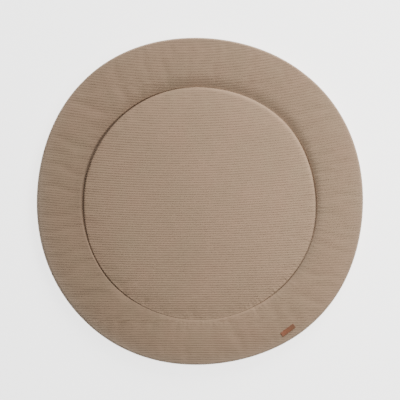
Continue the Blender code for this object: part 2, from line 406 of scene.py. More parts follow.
def seam_share(x, y):
    """How far the cover stands up from the seam's floor, from 0 in the channel to 1 away from it.

    Beside the channel a steep eased wall rises to the step, and a power curve that levels out takes
    the rest.
    """
    bearing, past, away = beside_seam(x, y)
    total = 0.0
    sides = ("disc", past < 0.0, DISC_ROUND_POWER), ("border", past >= 0.0, BORDER_ROUND_POWER)
    for name, on_side, power in sides:
        step = round_mat(QUILTING, name + "_step", bearing)
        left = np.maximum(1.0 - away / round_mat(QUILTING, name + "_round", bearing), 0.0)
        total = total + on_side * (1.0 - (1.0 - step) * left**power)
    wall = np.minimum(away / round_mat(QUILTING, "wall", bearing), 1.0)
    return total * eased_step(wall)


def nap_and_painted_light(x, y):
    """How the cloth is painted at a point: its tone, its darkened share in the channel, its painted pale
    share and how clear its ribs are.

    The channel is darkened, compressed pile and painted shade, and less so up its wall. Beside the seam
    the disc's edge gets a painted highlight, and the border gets painted shade, or a painted highlight
    where the table says below nought, and a paler, greyer painted tint in that shade, and all of that
    dies away. Near the rim the cloth is painted pale, painted light, and its ribs are weaker.
    """
    bearing, past, away = beside_seam(x, y)
    to_rim = np.maximum(rim_radius(bearing) - np.hypot(x, y), 0.0)
    on_border = np.clip(0.5 + 0.5 * past / TONE_STEP, 0.0, 1.0)
    in_channel = np.clip(1.0 - away / round_mat(QUILTING, "wall", bearing), 0.0, 1.0)
    # Painted highlight on the disc's edge beside the seam.
    brushed = round_mat(NAP_AND_LIGHT, "brushed", bearing) * np.exp(-away / EDGE_HIGHLIGHT_REACH)
    # Painted shade on the border beside the seam; where the table's value is below nought, a painted
    # highlight.
    shade = round_mat(NAP_AND_LIGHT, "shade", bearing) * np.exp(-away / SHADE_REACH)
    tone = (1.0 - on_border) * (DISC_TONE + brushed) + on_border * (BORDER_TONE - shade)
    # The channel darkened: compressed pile and painted shade in the crease.
    pressed = round_mat(NAP_AND_LIGHT, "pressed", bearing) * in_channel
    # Painted light on the rim: the cloth is painted pale towards it.
    near_rim = np.exp(-to_rim / RIM_LIGHT_REACH)
    # Painted tint in the shade on the border beside the seam: paler and greyer, as cooler light there
    # makes it.
    faded = round_mat(NAP_AND_LIGHT, "faded", bearing) * on_border * np.exp(-away / GREYED_SHADE_REACH)
    # The painted pale share: the painted light on the rim and the painted tint beside the seam.
    rubbed = faded + round_mat(NAP_AND_LIGHT, "rubbed", bearing) * near_rim
    clear = round_mat(NAP_AND_LIGHT, "ribs", bearing) * (1.0 - (1.0 - RIBS_LEFT_AT_RIM) * near_rim)
    return tone, pressed, rubbed, 1.0 - on_border * (1.0 - clear)


def cover_surface(filling, x, y):
    """Points of the rib crests over plan points: the body as the filling moves it, and sewn down."""
    place = np.minimum(place_of(x, y), RIM)
    bearing = np.arctan2(y, x)
    floor = round_mat(QUILTING, "floor", bearing)
    share = seam_share(x, y)
    moved = movement_at(filling, place, bearing)
    height = START_FULLNESS * body_height(place, bearing) + moved[..., 2] + relief(x, y)
    lowest = np.minimum(floor, height)
    height = lowest + (height - lowest) * share
    return np.stack([x + share * moved[..., 0], y + share * moved[..., 1], height], axis=-1)


def relief(x, y):
    """Uneven filling: swells and puckers that die away at the seam and rim, and the small folds."""
    bearing, past, away = beside_seam(x, y)
    swell = 0.0
    for wave in SWELLS:
        turns = wave.per_metre_x * x + wave.per_metre_y * y
        swell = swell + wave.height * np.sin(WHOLE_TURN * turns + math.radians(wave.phase_deg))
    loft = np.clip((RIM - place_of(x, y)) / SWELL_FADE_AT_RIM, 0.0, 1.0)
    away = away / np.where(past < 0.0, PUCKER_REACH_ON_DISC, PUCKER_REACH_ON_BORDER)
    pucker = 0.0
    for wave in PUCKER_WAVES:
        pucker = pucker + wave.share * np.sin(wave.count * bearing + wave.phase)
    pucker = pucker * round_mat(QUILTING, "pucker", bearing) * away * np.exp(1.0 - away)
    folds = 0.0
    for fold in FOLDS:
        folds = folds + fold.height * fold_share(fold, x, y)
    return swell * loft + pucker + folds


def fold_share(fold, x, y, spread=1.0):
    """How much of a fold is at a point: a bell along it times a bell across it."""
    turn = math.radians(fold.turn_deg)
    along = (x - fold.x) * math.cos(turn) + (y - fold.y) * math.sin(turn)
    across = (y - fold.y) * math.cos(turn) - (x - fold.x) * math.sin(turn)
    return np.exp(-((along / (spread * fold.length)) ** 2) - (across / (spread * fold.width)) ** 2)


def square_to_mat(side_a, side_b, ring_places):
    """Place and bearing of a square grid bent into a disc: its squares become circles."""
    ring = np.maximum(np.abs(side_a), np.abs(side_b))
    safe = np.maximum(ring, TINY)
    on_a = np.abs(side_a) >= np.abs(side_b)
    turn_a = np.where(side_a >= 0.0, 0.0, math.pi)
    turn_a = turn_a + 0.25 * math.pi * side_b / safe * np.sign(side_a)
    turn_b = np.where(side_b >= 0.0, 0.5, 1.5) * math.pi
    turn_b = turn_b - 0.25 * math.pi * side_a / safe * np.sign(side_b)
    return np.interp(ring, np.arange(len(ring_places)), ring_places), np.where(on_a, turn_a, turn_b)


def mat_to_square(place, bearing, ring_places):
    """The reverse of square_to_mat."""
    ring = np.interp(place, ring_places, np.arange(len(ring_places)))
    turned = np.mod(bearing + 0.25 * math.pi, WHOLE_TURN)
    quarter = np.floor(turned / (0.5 * math.pi))
    slid = ((turned - quarter * 0.5 * math.pi) / (0.25 * math.pi) - 1.0) * ring
    first_three = [quarter == 0, quarter == 1, quarter == 2]
    side_a = np.select(first_three, [ring, -slid, -ring], slid)
    side_b = np.select(first_three, [slid, ring, -slid], -ring)
    return side_a, side_b


def between_grid(values, row, column):
    """Reads a grid of values at points between its own, with Catmull-Rom's cubic in both directions."""
    last = values.shape[0] - 1
    base_row = np.clip(np.floor(row).astype(int), 0, last - 1)
    base_column = np.clip(np.floor(column).astype(int), 0, last - 1)
    row_weights = cubic_weights(row - base_row)
    column_weights = cubic_weights(column - base_column)
    total = 0.0
    for i in range(4):
        for j in range(4):
            near = values[np.clip(base_row + i - 1, 0, last), np.clip(base_column + j - 1, 0, last)]
            total = total + (row_weights[i] * column_weights[j])[..., None] * near
    return total


def cubic_weights(t):
    """Catmull-Rom's four weights at t between the second and the third point."""
    first = -0.5 * t + t**2 - 0.5 * t**3
    second = 1.0 - 2.5 * t**2 + 1.5 * t**3
    third = 0.5 * t + 2.0 * t**2 - 1.5 * t**3
    fourth = -0.5 * t**2 + 0.5 * t**3
    return first, second, third, fourth


def grid_quads(numbers):
    """Quads between the rows and columns of an array of point numbers."""
    corners = numbers[:-1, :-1], numbers[:-1, 1:], numbers[1:, 1:], numbers[1:, :-1]
    return np.stack([corner.ravel() for corner in corners], axis=1)


def halved(quads):
    """Two triangles for each quad, without those that have lost a corner."""
    triangles = np.concatenate([quads[:, [0, 1, 2]], quads[:, [0, 2, 3]]])
    kept = (triangles[:, 0] != triangles[:, 1]) & (triangles[:, 1] != triangles[:, 2])
    return triangles[kept & (triangles[:, 2] != triangles[:, 0])]


def ring_faces(rings, sides, first=0):
    """Quads between rings of points that lie one after another, and the fans to a pole at each end.

    The first pole follows the rings' points, then the last pole. Faces point out where the rings run
    anticlockwise, seen from the side of the first pole.
    """
    numbers = first + np.arange(rings * sides).reshape(rings, sides)
    around = np.concatenate([numbers, numbers[:, :1]], axis=1)
    quads = grid_quads(around)[:, ::-1]
    first_pole = first + rings * sides
    top = np.stack([around[0, :-1], around[0, 1:], np.full(sides, first_pole)], axis=1)
    foot = np.stack([around[-1, 1:], around[-1, :-1], np.full(sides, first_pole + 1)], axis=1)
    return halved(quads), top, foot


def zip_loops(upper, upper_turns, lower, lower_turns):
    """Triangles between two closed loops of point numbers.

    All points are taken in the order of their bearing. Each makes a triangle with the point before it
    on its own loop and the latest point of the other loop.
    """
    upper_turns = np.append(upper_turns[1:], upper_turns[0] + WHOLE_TURN)
    lower_turns = np.append(lower_turns[1:], lower_turns[0] + WHOLE_TURN)
    turns = np.concatenate([upper_turns, lower_turns])
    is_upper = np.concatenate([np.ones(len(upper), int), np.zeros(len(lower), int)])
    is_upper = is_upper[np.argsort(turns, kind="stable")]
    up = np.cumsum(is_upper)
    low = np.cumsum(1 - is_upper)
    here_up = upper[up % len(upper)]
    here_low = lower[low % len(lower)]
    on_upper = np.stack([here_up, upper[up - 1], here_low], axis=1)
    on_lower = np.stack([lower[low - 1], here_low, here_up], axis=1)
    return np.where(is_upper[:, None] == 1, on_upper, on_lower)


def make_piece(name, points, faces, materials, face_materials=None):
    """An object made of arrays of points and triangles, smooth, without points that no face uses."""
    used, numbers = np.unique(faces, return_inverse=True)
    mesh = bpy.data.meshes.new(name)
    mesh.from_pydata(points[used], [], numbers.reshape(faces.shape))
    for material in materials:
        mesh.materials.append(material)
    if face_materials is not None:
        mesh.polygons.foreach_set("material_index", face_materials.astype(np.int32))
    mesh.shade_smooth()
    piece = bpy.data.objects.new(name, mesh)
    bpy.context.scene.collection.objects.link(piece)
    return piece, used


def give_uv(piece, name, coordinates):
    """A UV map from one pair of numbers for each point of the mesh."""
    mesh = piece.data
    corner_points = np.empty(len(mesh.loops), np.int32)
    mesh.loops.foreach_get("vertex_index", corner_points)
    layer = mesh.uv_layers.new(name=name)
    layer.uv.foreach_set("vector", coordinates[corner_points].astype(np.float32).ravel())


def set_down(points):
    """Moves points from the seam's centre to the frame, where the outline's middle is the origin."""
    middle_x, middle_y = outline_middle()
    return points - np.array([middle_x, middle_y, 0.0])


def filled_out():
    """Where Blender's cloth simulation moves the cover when the filling presses against it.

    The cover and the back are one closed sheet on a square grid bent into a disc. The back, the seam
    and the rim hold still. Returns the grid of movements, each no longer than the cap, and its rings.
    """
    disc_rings = 1.0 - (1.0 - np.arange(DISC_RINGS + 1) / DISC_RINGS) ** DISC_RING_POWER
    border_rings = 1.0 + (np.arange(1, BORDER_RINGS + 1) / BORDER_RINGS) ** BORDER_RING_POWER
    ring_places = np.concatenate([disc_rings, border_rings])
    reach = DISC_RINGS + BORDER_RINGS
    steps = np.arange(-reach, reach + 1)
    side_a, side_b = np.meshgrid(steps, steps, indexing="ij")
    place, bearing = square_to_mat(side_a.astype(float), side_b.astype(float), ring_places)
    x, y = point_at(place, bearing)
    top = np.stack([x, y, START_FULLNESS * body_height(place, bearing)], axis=-1)
    back_places, back_heights = np.array(sorted(BACK_SECTION) + [(RIM, RIM_HEIGHT)]).T
    back = np.stack([x, y, np.interp(place, back_places, back_heights)], axis=-1)

    size = 2 * reach + 1
    numbers = np.arange(size * size).reshape(size, size)
    ring = np.maximum(np.abs(side_a), np.abs(side_b))
    on_rim = ring == reach
    back_numbers = np.where(on_rim, numbers, numbers + size * size)
    faces = np.concatenate([grid_quads(numbers)[:, ::-1], grid_quads(back_numbers)])
    used, renumbered = np.unique(faces, return_inverse=True)
    points = np.concatenate([top.reshape(-1, 3), back.reshape(-1, 3)])
    mesh = bpy.data.meshes.new("filling")
    mesh.from_pydata(points[used], [], renumbered.reshape(faces.shape))
    cloth_object = bpy.data.objects.new("filling", mesh)
    scene = bpy.context.scene
    scene.collection.objects.link(cloth_object)

    held = np.concatenate([((ring == DISC_RINGS) | on_rim).ravel(), np.ones(size * size, bool)])
    group = cloth_object.vertex_groups.new(name="held")
    group.add(np.flatnonzero(held[used]).tolist(), 1.0, "REPLACE")
    cloth = cloth_object.modifiers.new("cloth", "CLOTH")
    cloth.settings.vertex_group_mass = "held"
    cloth.settings.use_pressure = True
    cloth.settings.uniform_pressure_force = FILLING_PRESSURE
    cloth.settings.shrink_min = SPARE_CLOTH
    cloth.settings.effector_weights.gravity = 0.0
    cloth.point_cache.frame_start = 1
    cloth.point_cache.frame_end = FILLING_FRAMES
    for step in range(1, FILLING_FRAMES + 1):
        scene.frame_set(step)
    shaped = cloth_object.evaluated_get(bpy.context.evaluated_depsgraph_get()).data
    moved = np.empty(3 * len(used), np.float32)
    shaped.vertices.foreach_get("co", moved)
    movement = np.zeros((2 * size * size, 3))
    movement[used] = moved.reshape(-1, 3) - points[used]
    bpy.data.objects.remove(cloth_object)
    bpy.data.meshes.remove(mesh)
    scene.frame_set(1)
    movement = movement[: size * size].reshape(size, size, 3)
    length = np.linalg.norm(movement, axis=-1, keepdims=True)
    movement = movement * np.minimum(1.0, FILLING_CAP / np.maximum(length, TINY))
    return movement, ring_places


def movement_at(filling, place, bearing):
    """The simulated cloth's movement at a place and a bearing."""
    movement, ring_places = filling
    side_a, side_b = mat_to_square(place, bearing, ring_places)
    reach = len(ring_places) - 1
    return between_grid(movement, side_a + reach, side_b + reach)


def column_density(x, y):
    """How close the cover's columns lie: the sum of bells near the seam, the rim and the folds."""
    past = past_seam(x, y)
    from_rim = np.hypot(x, y) - rim_radius(np.arctan2(y, x))
    density = np.ones_like(x)
    for crowding, distance in ((NEAR_SEAM, past), (IN_CHANNEL, past), (NEAR_RIM, from_rim)):
        density = density + crowding.extra * np.exp(-((distance / crowding.reach) ** 2))
    for fold in FOLDS:
        density = density + NEAR_FOLD.extra * fold_share(fold, x, y, NEAR_FOLD.reach)
    return density


def rib_rows():
    """The rows of the cover's mesh: how far across the cloth each lies, and its rise in the rib."""
    x, y = point_at(RIM, evenly_round(OUTLINE_SAMPLES))
    edge = rib_across(x, y) / RIB_PITCH + 0.5
    phases = np.array([row.phase for row in RIB_SECTION])
    rises = np.array([row.rise for row in RIB_SECTION])
    ribs = np.arange(math.floor(edge.min()), math.ceil(edge.max()))
    run = (ribs[:, None] + phases).ravel()
    rise = np.tile(rises, len(ribs))
    inside = (run > edge.min() + ROW_MARGIN) & (run < edge.max() - ROW_MARGIN)
    return (run[inside] - 0.5) * RIB_PITCH, rise[inside]


def row_ends(across):
    """The x of both ends of each row, where it meets the rim, by halving the gap again and again."""
    samples = np.linspace(-ROW_REACH, ROW_REACH, ROW_SAMPLES)
    place = place_of(samples, rib_line(across[:, None], samples))
    lowest = samples[np.argmin(place, axis=1)]
    left_out = np.full_like(lowest, -ROW_REACH)
    right_out = np.full_like(lowest, ROW_REACH)
    left_in = lowest.copy()
    right_in = lowest.copy()
    for _ in range(HALVINGS):
        for out, inner in ((left_out, left_in), (right_out, right_in)):
            middle = 0.5 * (out + inner)
            on_mat = place_of(middle, rib_line(across, middle)) < RIM
            inner[on_mat] = middle[on_mat]
            out[~on_mat] = middle[~on_mat]
    return left_in, right_in


def cover_plan():
    """Plan of the cover's grid: rows along the ribs, columns by equal shares of the density.

    A first and a last row follow the rim itself. Returns x, y and each row's rise in the rib.
    """
    across, rise = rib_rows()
    left, right = row_ends(across)
    long_enough = right - left > SHORTEST_ROW
    across, rise = across[long_enough], rise[long_enough]
    left, right = left[long_enough], right[long_enough]
    samples = left[:, None] + (right - left)[:, None] * np.linspace(0.0, 1.0, ROW_SAMPLES)
    density = column_density(samples, rib_line(across[:, None], samples))
    steps = 0.5 * (density[:, 1:] + density[:, :-1])
    filled = np.concatenate([np.zeros((len(across), 1)), np.cumsum(steps, axis=1)], axis=1)
    filled = filled / filled[:, -1:]
    row_shift = 2.0 * np.arange(len(across))[:, None]
    wanted = row_shift + np.linspace(0.0, 1.0, COLUMNS)
    x = np.interp(wanted.ravel(), (row_shift + filled).ravel(), samples.ravel()).reshape(wanted.shape)
    y = rib_line(across[:, None], x)
    foot_x, foot_y = rim_row(x[0], y[0])
    head_x, head_y = rim_row(x[-1], y[-1])
    x = np.concatenate([foot_x, x, head_x])
    y = np.concatenate([foot_y, y, head_y])
    return x, y, np.concatenate([rise[:1], rise, rise[-1:]])


def rim_row(x, y):
    """A row along the rim between the two ends of a row, with as many points."""
    first = math.atan2(y[0], x[0])
    last = math.atan2(y[-1], x[-1])
    bearing = first + (last - first) * np.linspace(0.0, 1.0, len(x))
    row_x, row_y = point_at(RIM, bearing)
    return row_x[None, :], row_y[None, :]


def mat_piece(filling, ribbed_cloth, backing_cloth):
    """The filled mat as one closed form: the ribbed cover on top and the plain back beneath.

    The cover is its height and relief over the plan, moved as the simulation says, with the ribs cut in
    along its normals. The back is rings of points from the rim to a pole in its middle. The first of
    its two poles has no face, so make_piece() leaves it out.
    """
    x, y, rise = cover_plan()
    surface = cover_surface(filling, x, y)
    normal = np.cross(np.gradient(surface, axis=1), np.gradient(surface, axis=0))
    normal = normal / np.maximum(np.linalg.norm(normal, axis=-1, keepdims=True), TINY)
    from_rim = rim_radius(np.arctan2(y, x)) - np.hypot(x, y)
    past = past_seam(x, y)
    share = np.clip(np.abs(past) / RIB_FADE, RIB_SHARE_AT_SEAM, 1.0)
    share = share * np.clip(from_rim / RIB_FADE_AT_RIM, 0.0, 1.0)
    share = share * np.where(past > 0.0, RIB_DEPTH_ON_BORDER, 1.0)
    surface = surface - (RIB_DEPTH * share * (1.0 - rise[:, None]))[..., None] * normal

    rows, columns = x.shape
    numbers = np.arange(rows * columns).reshape(rows, columns)
    numbers[0, [0, -1]] = numbers[1, [0, -1]]
    numbers[-1, [0, -1]] = numbers[-2, [0, -1]]
    cover_faces = halved(grid_quads(numbers))
    rim_numbers = np.concatenate(
        [numbers[0, :-1], numbers[1:-1, -1], numbers[-1, -2:0:-1], numbers[-2:1:-1, 0]]
    )
    flat = surface.reshape(-1, 3)
    rim_turns = np.unwrap(np.arctan2(flat[rim_numbers, 1], flat[rim_numbers, 0]))

    back_turns = rim_turns[0] + evenly_round(BACK_SIDES)
    stations = np.array(BACK_SECTION)
    back_x, back_y = point_at(stations[:, :1], back_turns[None, :])
    back_height = np.broadcast_to(stations[:, 1:], back_x.shape)
    back = np.stack([back_x, back_y, back_height], axis=-1).reshape(-1, 3)
    first = len(flat)
    zipped = zip_loops(rim_numbers, rim_turns, first + np.arange(BACK_SIDES), back_turns)
    back_faces, _, fan = ring_faces(len(stations), BACK_SIDES, first)

    poles = np.zeros((2, 3))
    points = set_down(np.concatenate([flat, back, poles]))
    faces = np.concatenate([cover_faces, zipped, back_faces, fan])
    is_back = np.arange(len(faces)) >= len(cover_faces)
    piece, used = make_piece("mat_filled", points, faces, [ribbed_cloth, backing_cloth], is_back)
    run = rib_across(x, y) / RIB_PITCH + 0.5
    on_cover = np.stack([x, run], axis=-1).reshape(-1, 2)
    cloth_run = np.concatenate([on_cover, back[:, :2], poles[:, :2]])
    give_uv(piece, "cloth_run", cloth_run[used])
    on_back = np.tile([1.0, 0.0], (len(back) + len(poles), 1))
    # The tone with its painted highlight and shade, the channel's darkening, the ribs' clarity and the
    # painted pale share go to the cloth in two UV maps.
    tone, pressed, rubbed, ribs = nap_and_painted_light(x, y)
    for name, pair in (("nap_tone", (tone, pressed)), ("nap_wear", (ribs, rubbed))):
        paired_looks = np.stack(pair, axis=-1).reshape(-1, 2)
        give_uv(piece, name, np.concatenate([paired_looks, on_back])[used])
    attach(piece, "root")
    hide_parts("mat")


def stitches(starts, ends, ups, kind):
    """Points and faces of one sausage of thread from each start to each end, arched up in its middle.

    A sausage is rings of points round its length, with the radius of a half circle bent over it, and a
    pole at each tip.
    """
    along = np.linspace(0.0, 1.0, STITCH_RINGS + 2)[1:-1]
    turn = evenly_round(STITCH_SIDES)
    radius = 0.5 * kind.thickness * np.sqrt(1.0 - (2.0 * along - 1.0) ** 4)
    share = np.concatenate([np.repeat(along, STITCH_SIDES), [0.0, 1.0]])
    side = np.concatenate([(radius[:, None] * np.cos(turn)).ravel(), [0.0, 0.0]])
    lift = np.concatenate([(radius[:, None] * np.sin(turn)).ravel(), [0.0, 0.0]])
    lift = lift + kind.rise * (1.0 - (2.0 * share - 1.0) ** 2)
    run = ends - starts
    sideways = np.cross(ups, run)
    sideways = sideways / np.linalg.norm(sideways, axis=1, keepdims=True)
    points = (
        starts[:, None, :]
        + share[None, :, None] * run[:, None, :]
        + side[None, :, None] * sideways[:, None, :]
        + lift[None, :, None] * ups[:, None, :]
    )
    faces = np.concatenate(ring_faces(STITCH_RINGS, STITCH_SIDES))
    shifts = points.shape[1] * np.arange(len(starts))
    return points.reshape(-1, 3), (faces[None, :, :] + shifts[:, None, None]).reshape(-1, 3)


def seam_stitches(thread):
    """The stitches along the seam, in the channel's floor above and in the groove of the back."""
    count = round(WHOLE_TURN * SEAM_RADIUS / SEAM_STITCH_PITCH)
    middle = evenly_round(count)
    half = 0.5 * SEAM_STITCH.length / SEAM_RADIUS
    ends = []
    for bearing in (middle - half, middle + half):
        x, y = point_at(SEAM, bearing)
        ends.append(np.stack([x, y, round_mat(QUILTING, "floor", bearing)], axis=1))
    up = np.tile([0.0, 0.0, 1.0], (count, 1))
    top_points, top_faces = stitches(ends[0], ends[1], up, SEAM_STITCH)
    groove = dict(BACK_SECTION)[SEAM]
    low = [np.stack([end[:, 0], end[:, 1], np.full(count, groove)], axis=1) for end in ends]
    back_points, back_faces = stitches(low[0], low[1], -up, SEAM_STITCH)
    points = set_down(np.concatenate([top_points, back_points]))
    faces = np.concatenate([top_faces, back_faces + len(top_points)])
    piece, _ = make_piece("seam_stitches", points, faces, [thread])
    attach(piece, "root")


def tag_plan(along, across):
    """Plan points of the tag, from distances along and across it."""
    distance = rim_radius(TAG_BEARING) - TAG_INSET
    x = distance * math.cos(TAG_BEARING) + along * math.cos(TAG_TURN) - across * math.sin(TAG_TURN)
    y = distance * math.sin(TAG_BEARING) + along * math.sin(TAG_TURN) + across * math.cos(TAG_TURN)
    return x, y


def tag_outline():
    """Points and outward directions of the tag's rounded rectangle, anticlockwise."""
    half_length = 0.5 * TAG_LENGTH - TAG_CORNER
    half_width = 0.5 * TAG_WIDTH - TAG_CORNER
    points, directions = [], []
    corners = ((1, 1, 0), (-1, 1, 90), (-1, -1, 180), (1, -1, 270))
    for number, (sign_x, sign_y, first_deg) in enumerate(corners):
        turn = np.radians(first_deg + np.linspace(0.0, 90.0, TAG_CORNER_POINTS))
        direction = np.stack([np.cos(turn), np.sin(turn)], axis=1)
        arc = np.array([sign_x * half_length, sign_y * half_width]) + TAG_CORNER * direction
        next_x, next_y, _ = corners[(number + 1) % len(corners)]
        after = np.array([next_x * half_length, next_y * half_width]) + TAG_CORNER * direction[-1]
        between = TAG_LONG_POINTS if number % 2 == 0 else TAG_SHORT_POINTS
        share = np.linspace(0.0, 1.0, between + 2)[1:-1, None]
        points += [arc, arc[-1] + share * (after - arc[-1])]
        directions += [direction, np.repeat(direction[-1:], between, axis=0)]
    return np.concatenate(points), np.concatenate(directions)


def leather_tag(filling, leather, thread):
    """The tag: its section carried round its outline, laid on the ribs, and the stitches at its ends."""
    outline, direction = tag_outline()
    stations = np.array(TAG_SECTION)
    flat = stations[:, 0, None, None] * outline - stations[:, 1, None, None] * direction
    height = np.broadcast_to(stations[:, 2, None], flat.shape[:2])
    flat = np.concatenate([flat.reshape(-1, 2), np.zeros((2, 2))])
    height = np.concatenate([height.ravel(), [1.0, 0.0]])
    x, y = tag_plan(flat[:, 0], flat[:, 1])
    lying = cover_surface(filling, x, y)[:, 2] + TAG_CLEARANCE + TAG_THICKNESS * height
    points = set_down(np.stack([x, y, lying], axis=1))
    faces = np.concatenate(ring_faces(len(TAG_SECTION), len(outline)))
    piece, used = make_piece("leather_tag", points, faces, [leather])
    give_uv(piece, "leather_run", flat[used])
    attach(piece, "root")
    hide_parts("tag")

    across = TAG_STITCH_SPAN * (np.arange(TAG_STITCHES_IN_END) / (TAG_STITCHES_IN_END - 1) - 0.5)
    row = 0.5 * TAG_LENGTH - TAG_STITCH_INSET
    along = np.repeat([-row, row], TAG_STITCHES_IN_END)
    across = np.tile(across, 2)
    ends = []
    for end in (-0.5, 0.5):
        x, y = tag_plan(along + end * TAG_STITCH.length, across)
        z = cover_surface(filling, x, y)[:, 2] + TAG_CLEARANCE + TAG_THICKNESS
        ends.append(np.stack([x, y, z], axis=1))
    up = np.tile([0.0, 0.0, 1.0], (len(along), 1))
    points, faces = stitches(ends[0], ends[1], up, TAG_STITCH)
    sewn, _ = make_piece("tag_stitches", set_down(points), faces, [thread])
    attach(sewn, "root")


class Finish:
    """A material's nodes, added one after another."""

    def __init__(self, name):
        self.material = bpy.data.materials.new(name)
        self.material.use_nodes = True
        self.nodes = self.material.node_tree.nodes
        self.links = self.material.node_tree.links
        self.shader = self.nodes["Principled BSDF"]

    def fill(self, node, values):
        """Links each named input of a node to an output, or sets it to a value."""
        for name, value in values.items():
            if isinstance(value, bpy.types.NodeSocket):
                self.links.new(value, node.inputs[name])
            else:
                node.inputs[name].default_value = value

    def node(self, kind, values=(), **settings):
        """A node with some of its settings and inputs."""
        made = self.nodes.new(kind)
        for key, value in settings.items():
            setattr(made, key, value)
        self.fill(made, dict(values))
        return made

    def maths(self, operation, *values):
        """The output of a Math node."""
        return self.node("ShaderNodeMath", enumerate(values), operation=operation).outputs[0]

    def eased(self, value, low, high):
        """0 below low, 1 over high, with a smooth step between."""
        values = {"Value": value, "From Min": low, "From Max": high}
        return self.node("ShaderNodeMapRange", values, interpolation_type="SMOOTHSTEP").outputs["Result"]

    def noise(self, vector, scale, detail=2.0, roughness=0.5):
        """A noise between 0 and 1 on some coordinates."""
        values = {"Vector": vector, "Scale": scale, "Detail": detail, "Roughness": roughness}
        return self.node("ShaderNodeTexNoise", values).outputs["Fac"]

    def stretched(self, vector, scale):
        """Coordinates with their own scale along each axis."""
        return self.node("ShaderNodeMapping", {"Vector": vector, "Scale": scale}).outputs["Vector"]

    def run(self, uv_map):
        """The coordinates of a UV map."""
        return self.node("ShaderNodeUVMap", uv_map=uv_map).outputs["UV"]

    def pair(self, uv_map):
        """The two numbers of a UV map."""
        split = self.node("ShaderNodeSeparateXYZ", {"Vector": self.run(uv_map)})
        return split.outputs["X"], split.outputs["Y"]

    def place(self):
        """The coordinates of the piece itself, in metres."""
        return self.node("ShaderNodeTexCoord").outputs["Object"]

    def between(self, first, second, share):
        """A colour between two others."""
        values = {"Factor": share, "A": first, "B": second}
        return self.node("ShaderNodeMix", values, data_type="RGBA").outputs["Result"]

    def scaled(self, colour, factor):
        """A colour times a number."""
        values = {"Vector": colour, "Scale": factor}
        return self.node("ShaderNodeVectorMath", values, operation="SCALE").outputs["Vector"]

    def swing(self, noise, amount):
        """A noise about its middle, times an amount."""
        return self.maths("MULTIPLY", self.maths("SUBTRACT", noise, 0.5), amount)

    def surface(self, **values):
        """Links or sets the shader's own inputs, named with _ for a space."""
        self.fill(self.shader, {name.replace("_", " "): value for name, value in values.items()})

    def bump(self, height, distance, strength):
        """Sends a height to the shader's normal."""
        values = {"Height": height, "Distance": distance, "Strength": strength}
        self.surface(Normal=self.node("ShaderNodeBump", values).outputs["Normal"])


# Colours: the cover's cloth where it is plain and rosier in patches; its darkened valleys, partly
# painted shade; its darkened channel, compressed pile and painted shade; its painted pale light on the
# rim and painted grey tint beside the seam; the back; the thread; and the leather at both ends and along
# its edges.
CLOTH_PLAIN = (0.372, 0.274, 0.184, 1.0)
CLOTH_ROSY = (0.404, 0.264, 0.184, 1.0)
CLOTH_VALLEY_SHADED = (0.295, 0.203, 0.141, 1.0)
CLOTH_PRESSED_SHADED = (0.195, 0.132, 0.092, 1.0)
CLOTH_PAINTED_PALE = (0.490, 0.400, 0.315, 1.0)
CLOTH_SHEEN = (0.92, 0.82, 0.72, 1.0)
BACK_COLOUR = (0.33, 0.25, 0.19)
THREAD_COLOUR = (0.20, 0.145, 0.105)
HIDE_LOW_END = (0.285, 0.098, 0.047, 1.0)
HIDE_HIGH_END = (0.178, 0.068, 0.027, 1.0)
HIDE_EDGE = (0.150, 0.062, 0.034, 1.0)
FLOOR_COLOUR = (0.9, 0.9, 0.9, 1.0)

# How far noises are stretched along the cloth's run, a metre by a rib, and along the back's threads.
STREAK_RUN = (26.0, 1.1, 1.0)
THIN_RUN = (34.0, 1.7, 1.0)
WARP_RUN = (1500.0, 60.0, 60.0)
WEFT_RUN = (60.0, 1500.0, 60.0)


